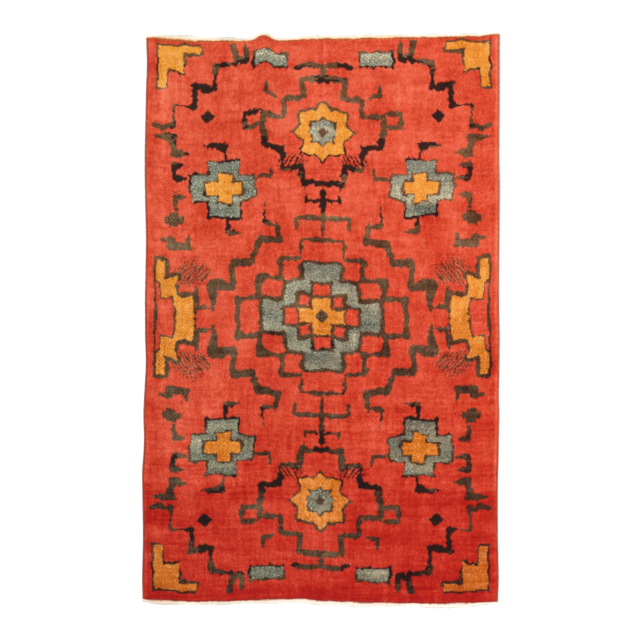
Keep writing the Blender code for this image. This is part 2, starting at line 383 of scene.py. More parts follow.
pattern = {
    "middle": 14.0,  # the pattern sits this far towards the far end
    "margin": (730.0, 1176.0),  # outside it the ground is plain
    "motifs": [
        # shape, x, y, half width, half height, steps, thickness of its outline, wool inside
        ("lozenge", 0, 0, 356, 322, 4, 12, "open"),
        ("lozenge", 0, 0, 262, 236, 3, 16, "slate"),
        ("lozenge", 0, 0, 170, 144, 3, 14, "red"),
        ("lozenge", 0, 0, 116, 92, 2, 13, "orange"),
        ("diamond", 0, 0, 36, 36, 1, 0, "dark"),
        ("lozenge", 730, 30, 186, 232, 3, 14, "orange"),
        ("lozenge", 740, 30, 98, 130, 2, 11, "red"),
        ("lozenge", 0, 790, 262, 226, 3, 12, "open"),
        ("star", 0, 790, 142, 142, 1, 9, "orange"),
        ("star", 0, 790, 74, 74, 1, 8, "slate"),
        ("diamond", 0, 790, 24, 24, 1, 0, "dark"),
        ("lozenge", 424, 560, 138, 124, 2, 9, "slate"),
        ("lozenge", 424, 560, 76, 68, 2, 9, "orange"),
        ("lozenge", 724, 1186, 332, 368, 4, 11, "open"),
        ("lozenge", 742, 1204, 214, 230, 3, 10, "orange"),
        ("box", 222, 1094, 74, 36, 1, 9, "slate"),
        ("lozenge", 640, 420, 40, 36, 2, 0, "dark"),
        ("diamond", 500, 868, 34, 34, 1, 0, "dark"),
    ],
    "lines": [
        # half thickness, corners
        (13, [(0, 322), (0, 564)]),
        (11, [(0, 420), (112, 420), (112, 372)]),
        (11, [(0, 500), (76, 500), (76, 548)]),
        (15, [(470, 44), (470, 138), (384, 138), (384, 232), (290, 232), (290, 322), (196, 322), (196, 410)]),
        (13, [(470, 60), (534, 60), (534, 122)]),
        (12, [(196, 396), (256, 396), (256, 462)]),
        (12, [(574, 530), (632, 530), (632, 470)]),
        (12, [(574, 600), (632, 600), (632, 656), (560, 656)]),
        (12, [(272, 600), (222, 600), (222, 656)]),
        (12, [(424, 692), (424, 744), (500, 744)]),
        (12, [(424, 428), (424, 376), (356, 376)]),
        (12, [(268, 820), (340, 820), (340, 880), (272, 880)]),
        (12, [(176, 948), (244, 948), (244, 1006)]),
        (13, [(0, 1020), (0, 1066), (124, 1066)]),
        (14, [(716, 336), (650, 336), (650, 308), (570, 308), (570, 372)]),
        (13, [(716, 770), (640, 770), (640, 712), (570, 712)]),
        (12, [(334, 1166), (334, 1104), (384, 1104), (384, 1166)]),
    ],
    # patches sown with single dark knots: x, y, half width, half height
    "sown": [(566, 190, 104, 74), (136, 656, 70, 46)],
    "seed": (18.0, 14.5, 5.8),  # spacing across and along, and half a seed's width
    "seedLean": 0.6,
    "seedWide": 0.8,
    "notSown": 40.0,  # distance that is given outside the patches
    # noises by which all is shaken, each with its reach, its size across and along, and its seed
    "drift": {"x": ((5, 260, 330, 11), (2.2, 60, 70, 12)), "y": ((8, 420, 300, 13), (2.5, 70, 60, 14))},
    "waver": {"x": ((12, 115, 100, 21), (5.5, 38, 32, 22)), "y": ((12, 105, 115, 23), (5.5, 32, 38, 24))},
    "straight": 30.0,  # no wavering this near to the middle lines
    "seedDrift": {"x": ((7, 21, 19, 81),), "y": ((6, 19, 23, 82),)},
    "patchEdge": ((0.22, 40, 36, 83),),
    "wider": -0.2,
    "stout": ((6.4, 58, 46, 25), (4.4, 16, 14, 26)),
    "ragged": ((2.6, 14, 11, 27),),
    "teeth": ((6.0, 10, 30, 28),),
    "toothSlant": (0.7, -0.5),
    "shortTeeth": 0.35,  # share of their length where the outlines aren't black
    "taper": 40.0,  # a line thins over this length towards its ends
    "thinnest": 0.25,
    "mitre": 0.75,  # how far the corners of a line are cut
    "starSquare": 0.72,  # a star's square, as a share of its diamond
    # where outlines are black: noise above a level, likelier in the far and near end thirds
    "blackFrom": 0.52,
    "blackSoft": 0.05,
    "blackInQuarter": ((1.0, 190, 96, 148),),
    "blackInAll": ((0.3, 240, 170, 49), (0.2, 20, 9, 45)),
    "blackLikelier": {"far": 0.6, "near": 0.4, "middle": -0.4},
    "endThird": ((290, 420), (1000, 1130)),  # where it begins and where it stops
    "middleThird": (200, 330),
}


def rectangle(x, y, halfWidth, halfHeight):
    # Distance to a rectangle about the middle, below 0 inside it
    outX, outY = np.abs(x) - halfWidth, np.abs(y) - halfHeight
    return np.hypot(np.maximum(outX, 0), np.maximum(outY, 0)) + np.minimum(np.maximum(outX, outY), 0)


def motifDistance(shape, x, y, halfWidth, halfHeight, steps):
    # A stepped lozenge is a stack of rectangles, each narrower and taller than the last; an
    # eight-pointed star is a square and a diamond over each other
    if shape == "diamond":
        slope = halfWidth * halfHeight / np.hypot(halfWidth, halfHeight)
        return (np.abs(x) / halfWidth + np.abs(y) / halfHeight - 1) * slope
    if shape == "star":
        pointed = motifDistance("diamond", x, y, halfWidth, halfHeight, 1)
        share = pattern["starSquare"]
        return np.minimum(rectangle(x, y, share * halfWidth, share * halfHeight), pointed)
    shares = [((steps - k) / steps, (k + 1) / steps) for k in range(steps)]
    return np.minimum.reduce([rectangle(x, y, halfWidth * a, halfHeight * b) for a, b in shares])


def lineDistance(x, y, corners, half):
    # Distance to a line of straight runs, square at its corners as knots make it. The line is
    # full at its middle and thins towards both ends.
    runs = [np.subtract(b, a) for a, b in zip(corners, corners[1:])]
    lengths = [np.hypot(*run) for run in runs]
    passed, total = 0.0, sum(lengths)
    nearest = np.full(x.shape, np.inf)
    for (x0, y0), (runX, runY), length in zip(corners, runs, lengths):
        t = np.clip(((x - x0) * runX + (y - y0) * runY) / length**2, 0, 1)
        offX, offY = np.abs(x - x0 - t * runX), np.abs(y - y0 - t * runY)
        distance = np.maximum(np.maximum(offX, offY), pattern["mitre"] * (offX + offY))
        toEnd = np.minimum(passed + t * length, total - passed - t * length)
        thin = pattern["thinnest"] + (1 - pattern["thinnest"]) * smoothStep(0, pattern["taper"], toEnd)
        nearest = np.minimum(nearest, distance - half * thin)
        passed += length
    return nearest


def sownDistance(x, y, patches):
    # Small leaning seeds on a shaken lattice, thinning out towards the edge of each patch
    acrossStep, alongStep, size = pattern["seed"]
    shakenX = x + layered(x, y, pattern["seedDrift"]["x"])
    shakenY = y + layered(x, y, pattern["seedDrift"]["y"])
    line = np.round(shakenY / alongStep)
    offX = ((shakenX / acrossStep + 0.5 * (line % 2)) % 1.0 - 0.5) * acrossStep
    offY = (shakenY / alongStep - line) * alongStep
    seed = np.hypot(offX + pattern["seedLean"] * offY, pattern["seedWide"] * offY)
    inside = np.full(x.shape, -1.0)
    for middleX, middleY, halfWidth, halfHeight in patches:
        inside = np.maximum(inside, 1 - np.hypot((x - middleX) / halfWidth, (y - middleY) / halfHeight))
    inside = inside + layered(x, y, pattern["patchEdge"])
    return seed - size * smoothStep(0.0, 0.5, inside) + pattern["notSown"] * (inside <= 0)


def blackTurn(column, row):
    # The outlines are olive in some stretches and black in others, much the same in all four
    # quarters and mostly in the end thirds: 1 where they are black
    x, y = np.abs(column), np.abs(row - pattern["middle"])
    turned = layered(x, y, pattern["blackInQuarter"]) + layered(column, row, pattern["blackInAll"])
    likelier, (begins, stops) = pattern["blackLikelier"], pattern["endThird"]
    endThird = smoothStep(*begins, y) * (1 - smoothStep(*stops, y))
    turned = turned + np.where(row > pattern["middle"], likelier["far"], likelier["near"]) * endThird
    turned = turned + likelier["middle"] * (1 - smoothStep(*pattern["middleThird"], y))
    return smoothStep(-pattern["blackSoft"], pattern["blackSoft"], turned - pattern["blackFrom"])


def chart(column, row):
    # Signed distance to each wool's area at these places of the flat rug, below 0 where it is
    # knotted. The quarter is mirrored, and its lines waver as a weaver's do when counting by eye.
    x = np.abs(column + layered(column, row, pattern["drift"]["x"]))
    y = np.abs(row - pattern["middle"] + layered(column, row, pattern["drift"]["y"]))
    waverX, waverY = (layered(x, y, pattern["waver"][axis]) for axis in "xy")
    x = x + waverX * np.clip(x / pattern["straight"], 0, 1)
    y = y + waverY * np.clip(y / pattern["straight"], 0, 1)
    stout = pattern["wider"] + layered(x, y, pattern["stout"])
    # slanting teeth, longest where the outlines are black, and a ragged edge
    black = blackTurn(column, row)
    short, (slantX, slantY) = pattern["shortTeeth"], pattern["toothSlant"]
    teeth = (short + (1 - short) * black) * layered(x + slantX * y, y + slantY * x, pattern["teeth"])
    ragged = layered(column, row, pattern["ragged"])
    margin = np.maximum(x - pattern["margin"][0], y - pattern["margin"][1])
    areas = {name: np.full(x.shape, 1e3) for name in ("dark", "orange", "slate")}
    areas["red"] = np.full(x.shape, -1e3)

    def knotOver(wool, distance):
        for name in areas:
            cover = np.minimum if name == wool else np.maximum
            areas[name] = cover(areas[name], distance if name == wool else -distance)

    knotOver("dark", sownDistance(x, y, pattern["sown"]))
    for half, corners in pattern["lines"]:
        knotOver("dark", np.maximum(lineDistance(x, y, corners, half) - stout + teeth, margin))
    for shape, middleX, middleY, halfWidth, halfHeight, steps, edge, wool in pattern["motifs"]:
        distance = motifDistance(shape, x - middleX, y - middleY, halfWidth, halfHeight, steps) + ragged
        if wool == "open":
            knotOver("dark", np.maximum(np.abs(distance) - edge - stout + teeth, margin))
        else:
            if edge:
                knotOver("dark", np.maximum(distance - stout + teeth, margin))
            knotOver(wool, np.maximum(distance + edge, margin + edge))
    return areas


# The wools, each dyed and spun by hand, so no two knots are quite alike

wools = {
    # colours at the far end, past the middle and at the near end, then how much single knots
    # differ, and how much patches do, in red, green and blue steps of a 255-step scale, and how
    # far the light and dark strands spun together differ
    "red": ("#dd5032", "#d24328", "#bf2612", (2.2, 14.2, 16.8), (0.86, 1.24, 1.2), 0.0),
    "orange": ("#ea922b", "#db7f20", "#cc6c17", (14.0, 29.0, 36.0), (1.0, 1.4, 1.7), 0.75),
    "slate": ("#979179", "#7f7962", "#7e775f", (26.0, 28.0, 34.0), (1.4, 1.35, 1.2), 1.65),
    "olive": ("#674627", "#4f341b", "#472a11", (15.5, 20.5, 27.0), (1.5, 1.5, 1.4), 1.1),
    "black": ("#2b140d", "#200e07", "#1f0c05", (13.0, 10.0, 9.0), (0.6, 0.5, 0.4), 0.8),
}
dyeing = {
    # All shifts are in steps of a 255-step colour scale. A pair of places is where a change begins
    # and where it is complete. Noises have their reach, sizes and seed.
    "toMiddleShade": (600, -400),
    "toNearShade": (-400, -1130),
    "deepest": 1.3,  # shades may go this far towards and past the near one
    "deepBand": (0.26, (-712, -742), (-800, -950)),  # how much deeper, its start and its stop
    "patches": (6.4, 13.0, 26.0, 52.0, 104.0),  # sizes of the cloudy patches, all as strong
    "patchLong": 3,
    "patchSeeds": (50, 60),  # of the first patches across and along
    "patchShift": 5.2,
    # rows knotted with a yarn of a slightly other dyeing, most in the near half and at its sides
    "rowShift": 5.0,
    "mixedRows": (200, -500),
    "mixedSides": (120, 620),  # away from its own middle
    "mixedMiddle": -40,
    "leastMixed": 0.35,
    "rowLots": ((1.0, 900, 30, 31, 1.0), (0.6, 500, 11, 32, 0.5)),  # the last: how far they follow the stray
    # single rows that differ: where they come to differ more, how little and how much, their noise
    "fineRows": (0, -500),
    "fineShift": (1.5, 6.0),
    "fineNoise": (260, 6.5, 48, 0.4),
    "streaks": ((3.6, 90.0, 5.4, 33), (3.6, 5.4, 70.0, 34), (3.6, 200.0, 9.0, 35), (3.6, 9.0, 150.0, 36)),
    "stray": ((14, 210, 300, 37), (5, 46, 60, 38)),  # rows bend by so much
    "lotEdge": {"x": ((14, 60, 16, 46),), "y": ((5, 70, 60, 47),)},
    "lotFade": {"x": (0.75, 1.2), "y": (0.7, 1.25)},  # shares of a lot's half width and half height
    # slate wool with more blue-grey yarn plied in where this noise is high, and with more cream
    # where it is low
    "plied": ((1.0, 330, 42, 1174), (0.12, 20, 9, 40)),
    "bluerFrom": (0.28, 0.36),
    "palerFrom": (-0.22, -0.34),
    "blueLot": (-24.0, -17.0, -13.0),
    "creamLot": (17.0, 16.0, 11.0),
    "blueMottle": (12.0, 9.0, 5.0),
    "setOffSpread": 1.12,  # knots that are set off differ as much as before
    "redSetOff": 0.25,
    # painted shade along the creases, where the pile parts
    "creaseShade": (-15.0, -20.0, -16.0),
    "paleLeft": (-2.0, 4.0, 4.0),  # the left side is a little more faded
    "toned": 10.0,  # painted shade: the last rows at both ends are darker by so much
    "endShadeReach": 26.0,
    "lastRowsShade": {"far": (-17.0, 8.0, -5.0), "near": (-24.0, -4.0, -5.0)},  # painted shade on the edge tufts: browner at the far end, darker at the near one
    "lastRowsShadeReach": (1, 10),
    "paleRim": (17.0, 36.0, 34.0),  # the pile is paler along the right side
    "rimReach": (5, 20),
    "rimWhereDeep": 0.7,  # so much less of it in the near end's deeper red
    "lastColumnLight": (13.0, 4.0, 1.0),  # painted light on the outermost tufts of both sides, against the shade of the lowered rim
    "lastColumnLightReach": (4, 8),
    # where the yarn is of another lot: x, y, half width, half height, steps lighter
    "lots": [
        (-700, -730, 70, 28, -9), (690, -790, 110, 34, -9), (-705, -850, 60, 32, -12),
        (-510, -830, 120, 50, -7), (480, -800, 115, 22, -3), (-40, -880, 200, 26, -6),
        (0, -1165, 780, 28, -9), (-440, 460, 85, 60, -8), (465, 440, 35, 52, -11), (595, 260, 120, 45, -9),
        (-200, -80, 80, 26, -9), (-415, 1090, 35, 65, -8), (-700, 930, 45, 80, 7), (365, 960, 95, 45, 8),
        (0, 500, 280, 120, 5), (-120, 210, 90, 14, -6), (300, -330, 160, 18, 6), (-560, 150, 90, 16, 6),
        (420, 60, 110, 12, -6), (-740, 880, 40, 260, -14), (-740, -240, 40, 310, -12),
        (745, -240, 30, 300, -12), (290, 1170, 180, 26, -8), (-120, 330, 130, 130, -13),
        (-60, -620, 170, 80, 7), (430, -830, 220, 70, 5), (550, 335, 50, 50, 12), (600, -220, 90, 40, 9),
        (-300, 1000, 60, 130, -9), (120, -1110, 60, 40, -8), (-300, -800, 70, 50, 8),
        (-300, -1110, 60, 50, 8), (655, 330, 70, 50, 12), (-570, 300, 110, 90, 8),
        (-190, -960, 260, 190, 11), (500, -1020, 140, 90, -7), (380, -1110, 220, 36, -6),
    ],
}


def blend(low, high, amount):
    # From one colour to another, as far as the amount says at each place
    return low + (high - low) * amount[..., None]


def stepShift(shift, amount):
    # A colour shift in steps, as far as the amount says at each place
    return amount[..., None] * np.array(shift) / 255


def otherLots(column, row):
    # How much lighter or darker the yarn is there: bands with soft, wavering sides
    total = np.zeros(column.shape)
    x = column + layered(column, row, dyeing["lotEdge"]["x"])
    y = row + layered(column, row, dyeing["lotEdge"]["y"])
    for middleX, middleY, halfWidth, halfHeight, lighter in dyeing["lots"]:
        across = 1 - smoothStep(*dyeing["lotFade"]["x"], np.abs(x - middleX) / halfWidth)
        along = 1 - smoothStep(*dyeing["lotFade"]["y"], np.abs(y - middleY) / halfHeight)
        total += lighter * across * along
    return total


def dyeLots(column, row):
    # How far the ground has turned to its near-end shade, and how much lighter each place is:
    # clouds of yarn, rows of another dyeing, streaks along rows and warps, and painted shade on the
    # last rows
    stray = layered(column, row, dyeing["stray"])
    least = dyeing["leastMixed"]
    aside = smoothStep(*dyeing["mixedSides"], np.abs(column - dyeing["mixedMiddle"]))
    mixed = smoothStep(*dyeing["mixedRows"], row) * (least + (1 - least) * aside)
    deeper, begins, stops = dyeing["deepBand"]
    deep = smoothStep(*dyeing["toNearShade"], row)
    deep = deep + deeper * mixed * smoothStep(*begins, row + stray) * (1 - smoothStep(*stops, row))
    lot = sum(
        reach * softNoise(column * 0, row + follow * stray, sizeX, sizeY, seed)
        for reach, sizeX, sizeY, seed, follow in dyeing["rowLots"]
    )
    clouds, (seedAcross, seedAlong) = np.zeros(column.shape), dyeing["patchSeeds"]
    for number, size in enumerate(dyeing["patches"]):
        clouds += softNoise(column, row, dyeing["patchLong"] * size, size, seedAcross + number)
        clouds += softNoise(column, row, size, dyeing["patchLong"] * size, seedAlong + number)
    patch = dyeing["patchShift"] * clouds + dyeing["rowShift"] * lot * (least + (1 - least) * mixed)
    patch += layered(column, row, dyeing["streaks"])
    (weak, strong), (sizeX, sizeY, seed, follow) = dyeing["fineShift"], dyeing["fineNoise"]
    fine = weak + (strong - weak) * smoothStep(*dyeing["fineRows"], row)
    patch += fine * softNoise(column, row + follow * stray, sizeX, sizeY, seed)
    patch += otherLots(column, row)
    # painted shade on the last rows at both ends
    toned = smoothStep(rug["halfLength"] - dyeing["endShadeReach"], rug["halfLength"], np.abs(row))
    patch -= dyeing["toned"] * toned
    return deep, patch


def dyed(kind, row, deep, patch, knot):
    # sRGB shares of one wool at these places
    far, middle, near, byKnot, byPatch = wools[kind][:5]
    colour = blend(shade(far), shade(middle), smoothStep(*dyeing["toMiddleShade"], row))
    colour = blend(colour, shade(near), np.clip(deep, 0, dyeing["deepest"]))
    return colour + stepShift(byKnot, knot) + stepShift(byPatch, patch)


def knotColours(column, row, areas):
    # Linear colours for every knot: its wool, the dyeing of its row, the patch it is in and its own
    # shade. The fourth number is how heathered its wool is.
    wool = np.array(list(areas))[np.argmin(np.stack(list(areas.values())), axis=0)]
    black = blackTurn(column, row) >= 0.5
    wool = np.where(wool == "dark", np.where(black, "black", "olive"), wool)
    # each knot's shade is set off from the mean of its four neighbours', in red wool in part
    knot = np.random.default_rng(5).normal(0, 1, column.shape)
    beside = sum(np.roll(knot, step, axis) for step in (1, -1) for axis in (0, 1)) / 4
    setOff, partly = (knot - beside) / dyeing["setOffSpread"], knot - dyeing["redSetOff"] * beside
    deep, patch = dyeLots(column, row)
    colours = np.zeros(column.shape + (3,))
    heather = np.zeros(column.shape)
    for name in wools:
        here = wool == name
        colours[here] = dyed(name, row, deep, patch, partly if name == "red" else setOff)[here]
        heather[here] = wools[name][5]
    plied = layered(column, row, dyeing["plied"])
    bluer, paler = smoothStep(*dyeing["bluerFrom"], plied), smoothStep(*dyeing["palerFrom"], plied)
    lot = stepShift(dyeing["blueLot"], bluer) + stepShift(dyeing["creamLot"], paler)
    lot = lot + stepShift(dyeing["blueMottle"], bluer * setOff)
    colours[wool == "slate"] += lot[wool == "slate"]

    # painted shade along the creases
    colours += stepShift(dyeing["creaseShade"], crease(column, row))
    # painted shade on the outermost rows at both ends
    for end, shift in dyeing["lastRowsShade"].items():
        toEnd = rug["halfLength"] - outwards[end] * row
        colours += stepShift(shift, 1 - smoothStep(*dyeing["lastRowsShadeReach"], toEnd))
    colours -= stepShift(dyeing["paleLeft"], column / rug["halfWidth"])
    paleRight = 1 - smoothStep(*dyeing["rimReach"], rug["halfWidth"] - column)
    colours += stepShift(dyeing["paleRim"], paleRight * (1 - dyeing["rimWhereDeep"] * deep))
    # painted light: the outermost tufts are lighter, against the shade of the lowered rim
    outermost = 1 - smoothStep(*dyeing["lastColumnLightReach"], rug["halfWidth"] - np.abs(column))
    colours += stepShift(dyeing["lastColumnLight"], outermost)
    return np.dstack([dyedLinear(colours), heather])


# Pile: one tuft of cut wool for each knot, four faces that meet in its tip

pile = {
    "columns": 352,  # knots across
    "rows": 560,  # knots along
    "strips": 4,  # lengths that the mesh is made in, so that each stays light
    "relief": 1.15,  # from a tuft's tip down to the gap between tufts
    "uneven": 0.24,
    "unevenGaps": 0.8,
    "unevenTips": 0.7,
    "leanNear": 0.7,  # the nap: tips lean to the near end
    # how far the points stray from an even grid: reach, spread, limit
    "gapStray": (0.6, 1.0, 1.4),
    "tipStray": (0.6, 0.6, 1.3),
    "rimDrop": 2.6,
    "rimGaps": 2.4,  # over so many tufts the pile comes down to its edge
    "rimTips": (1.0, 3.0),
    "rimTipShare": 0.6,
    "onStrip": 0.3,  # the pile's ends come down to this far above the woven strips
    "edgeHeight": 1.3,
    "edgeTip": 2.9,  # of the outermost tufts, in from the edge
    "mingled": 0.8,  # at the gaps a tuft's colour is so far its neighbours'
    "parted": 1.7,  # how much lower the tufts are on a crease
    "yarnEnd": 2.2,  # from one cut end of yarn to the next
    "locks": (0.8, 3.3),  # of fibres, for each mm along and across them
    "bends": 1.5,  # for each mm
    "bent": 3.4,  # how far the yarn ends' outlines are bent
    "bump": {"Strength": 1.0, "Distance": 0.0016},
    "surface": {"Roughness": 0.95, "Specular IOR Level": 0.08, "Sheen Weight": 0.12, "Sheen Roughness": 0.5},
}


def cutWoolPile():
    # Hand-knotted wool, cut level and worn a little: matt and soft. Each knot shows its yarn's cut
    # ends, 2.2 mm apart, each with a tone of its own, with painted shade down between them and in
    # the gaps between tufts. Fibres are 0.03 mm, drawn as locks of 0.3 by 1.2 mm, combed another
    # way in each yarn end, so that they show.
    material, tree = newMaterial("cut wool pile")
    colour = addNode(tree, "Attribute", attribute_name="knotColour")
    rise = addNode(tree, "Attribute", attribute_name="tuftRise")
    flat = addNode(tree, "UVMap", uv_map="flatCloth")
    # the yarn ends' outlines are bent by the fibres
    bend = addNode(
        tree, "TexNoise", {"Vector": flat, "Scale": pile["bends"] / metres, "Detail": 3.0, "Roughness": 0.75},
        noise_dimensions="2D",
    )
    reach = pile["bent"] * metres
    bent = addNode(
        tree, "VectorMath", {0: bend.outputs["Color"], 1: (reach, reach, 0.0)}, operation="MULTIPLY",
    )
    spot = addNode(tree, "VectorMath", {0: flat, 1: bent}, operation="ADD")
    yarnEnds = addNode(
        tree, "TexVoronoi", {"Vector": spot, "Scale": 1000 / pile["yarnEnd"], "Randomness": 0.85},
        voronoi_dimensions="2D",
    )
    ownTone = addNode(tree, "SeparateColor", {"Color": yarnEnds.outputs["Color"]})
    # the second and third numbers of a yarn end's colour are the way it is combed and its tone
    ownWay = addNode(tree, "Math", {0: ownTone.outputs[1], 1: 6.28}, operation="MULTIPLY")
    combed = addNode(tree, "VectorRotate", {"Vector": flat, "Angle": ownWay}, rotation_type="Z_AXIS")
    along, across = (number / metres for number in pile["locks"])
    stretched = addNode(tree, "Mapping", {"Vector": combed, "Scale": (along, across, 1.0)})
    locks = addNode(
        tree, "TexNoise",
        {"Vector": stretched, "Scale": 1.0, "Detail": 2.0, "Roughness": 0.6, "Distortion": 0.6},
        noise_dimensions="2D",
    )
    # painted shade: darker down between the yarn ends
    hollowShade = addNode(
        tree, "MapRange",
        {"Value": yarnEnds, "From Min": 0.1, "From Max": 0.7, "To Min": 0.2, "To Max": -0.4},
    )
    tone = addNode(
        tree, "MapRange",
        {"Value": locks, "From Min": 0.3, "From Max": 0.7, "To Min": 1.19, "To Max": 1.75},
    )
    # painted shade: darker down in the gaps between tufts than at their tips
    depth = addNode(tree, "MapRange", {"Value": rise.outputs["Fac"], "To Min": -0.07, "To Max": 0.05})
    endTone = addNode(tree, "Math", {0: ownTone, 1: 0.12, 2: -0.06}, operation="MULTIPLY_ADD")
    # heathered wool: each yarn end is lighter or darker, as far as its knot's fourth number says
    offMiddle = addNode(tree, "Math", {0: ownTone.outputs[2], 1: 0.5}, operation="SUBTRACT")
    heathered = addNode(tree, "Math", {0: offMiddle, 1: colour.outputs["Alpha"]}, operation="MULTIPLY")
    for part in (hollowShade, depth, endTone, heathered):
        tone = addNode(tree, "Math", {0: tone, 1: part}, operation="ADD")
    height = addNode(tree, "Math", {0: locks, 1: yarnEnds}, operation="SUBTRACT")
    finishYarn(tree, colour, tone, height, pile["bump"], pile["surface"])
    return material


def shaken(shake, places, reach, spread, limit, free=1.0):
    # Each place moved by a step of its own, none further than a limit, as far as it is free
    return places + reach * free * np.clip(shake.normal(0, spread, places.shape), -limit, limit)


def tuftPoints():
    # Where the pile's points are on the flat rug, (column, row), and in the room: the gaps
    # between tufts first, then the tips. A tuft stands on four gaps.
    width, length, shake = rug["halfWidth"], rug["halfLength"], np.random.default_rng(17)
    pitch = 2 * width / pile["columns"]
    across = np.linspace(-width, width, pile["columns"] + 1)
    column, row = np.meshgrid(across, np.linspace(-length, length, pile["rows"] + 1))
    x, y = plan(column, row)
    rim = np.minimum(width - np.abs(column), length - np.abs(row))
    onRim = rim < 0.5 * pitch
    x, y = (shaken(shake, places, *pile["gapStray"], free=~onRim) for places in (x, y))
    uneven = pile["uneven"] * shake.normal(0, pile["unevenGaps"], column.shape)
    drop = pile["rimDrop"] * (1 - smoothStep(0, pile["rimGaps"] * pitch, rim))
    height = rug["thickness"] - pile["relief"] + uneven - drop - pile["parted"] * crease(x, y)
    # at the ends the pile comes down on the woven strips, and at the sides beside the cords
    atEnd = np.abs(column) < width - 0.5 * pitch
    rimHeight = np.where(atEnd, rug["weave"] + pile["onStrip"], pile["edgeHeight"])
    height = np.where(onRim, rimHeight, height)
    gaps = np.stack([x, y, lift(x, y) + height], axis=-1)

    tipColumn, tipRow = (sum(fourCorners(places)) / 4 for places in (column, row))
    x, y = plan(tipColumn, tipRow)
    x, y = (shaken(shake, places, *pile["tipStray"]) for places in (x, y))
    y = y - pile["leanNear"]
    fromSide, fromEnd = width - np.abs(tipColumn), length - np.abs(tipRow)
    rim = np.minimum(fromSide, fromEnd)
    outermost = rim < pitch
    uneven = pile["uneven"] * shake.normal(0, pile["unevenTips"], x.shape)
    drop = pile["rimTipShare"] * (1 - smoothStep(*(pitch * tufts for tufts in pile["rimTips"]), rim))
    drop = pile["rimDrop"] * np.where(outermost, 1, drop)
    level = rug["thickness"] + uneven - drop - pile["parted"] * crease(x, y)
    inwards = pile["edgeTip"] - pitch / 2
    x = x - np.sign(tipColumn) * (fromSide < pitch) * inwards
    y = y - np.sign(tipRow) * (fromEnd < pitch) * inwards
    tips = np.stack([x, y, lift(x, y) + level], axis=-1)
    return np.stack([column, row], axis=-1), gaps, np.stack([tipColumn, tipRow], axis=-1), tips


def shadingDirections(gaps, tips):
    # The crossed edges of all faces that meet in a point, added up. They are worked out over the
    # whole rug, so that no strip shows its edge.
    edges = [corner - tips for corner in fourCorners(gaps)]
    crossed = [np.cross(edges[k], edges[(k + 1) % 4]) for k in range(4)]
    atGaps = np.zeros(gaps.shape)
    for k, corner in enumerate(fourCorners(atGaps)):
        corner += crossed[k - 1] + crossed[k]
    return [n / np.linalg.norm(n, axis=-1, keepdims=True) for n in (atGaps, sum(crossed))]


def stripRows(atGaps, atTips, first, last):
    # One strip's part of what is known at the gaps and at the tips, one row for each point
    parts = (atGaps[:, first:last + 1], atTips[:, first:last])
    return np.concatenate([part.reshape(-1, part.shape[-1]) for part in parts])


def buildPile():
    # Tufts like low four-sided tents, side by side over the whole rug, made in equal strips
    rows, each = pile["rows"], pile["columns"] // pile["strips"]
    gapPlaces, gaps, tipPlaces, tips = tuftPoints()
    gapDirections, tipDirections = shadingDirections(gaps, tips)
    tipColumn, tipRow = tipPlaces[..., 0], tipPlaces[..., 1]
    colours = knotColours(tipColumn, tipRow, chart(tipColumn, tipRow))
    padded = np.pad(colours, ((1, 1), (1, 1), (0, 0)), mode="edge")
    gapColours = sum(fourCorners(padded)) / 4
    # a tuft's four faces each join two gaps, side by side, and the tip
    square = gridFaces(each + 1, rows + 1)
    tip = (rows + 1) * (each + 1) + np.arange(rows * each)
    beside = [(k, (k + 1) % 4) for k in range(4)]
    faces = np.stack([np.stack([square[:, a], square[:, b], tip], axis=1) for a, b in beside], axis=1)
    material = cutWoolPile()
    pieces = []
    for strip in range(pile["strips"]):
        first, last = strip * each, (strip + 1) * each
        points = stripRows(gaps, tips, first, last)
        flat = stripRows(gapPlaces, tipPlaces, first, last)
        piece = newPiece(f"wool_pile_{strip + 1}", points, faces.reshape(-1, 3), material, flat)
        own, shared = colours[:, first:last], gapColours[:, first:last + 1]
        around = [own + (corner - own) * pile["mingled"] for corner in fourCorners(shared)]
        tint = np.stack([np.stack([around[a], around[b], own], axis=2) for a, b in beside], axis=2)
        giveAttribute(piece, "knotColour", "FLOAT_COLOR", "CORNER", tint)
        rise = np.concatenate([np.zeros(len(points) - len(tip)), np.ones(len(tip))])
        giveAttribute(piece, "tuftRise", "FLOAT", "POINT", rise)
        directions = stripRows(gapDirections, tipDirections, first, last)
        piece.data.normals_split_custom_set_from_vertices(directions)
        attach(piece, "root")
        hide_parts("pile_field")
        pieces.append(piece)
    print("pile:", rows * pile["columns"], "knots")
    return pieces


# Foundation: the cotton that the knots are tied on, seen only from the back

foundation = {
    "columns": 150,
    "rows": 238,
    "endInset": 3.0,  # the flat-woven ends begin here, under the pile's last row
    "sideInset": -0.6,  # a little under the selvedge
    "rim": 2.6,  # turned up under the pile's edge
    "knotPitch": 4.3,
    "darker": 12.0,  # the back's ground, in steps of a 255-step colour scale
    "farthest": 60.0,  # distances to a wool are kept up to here
    "wools": {"X": "#4d3826", "Y": "#d6832f", "Z": "#86826b"},
}


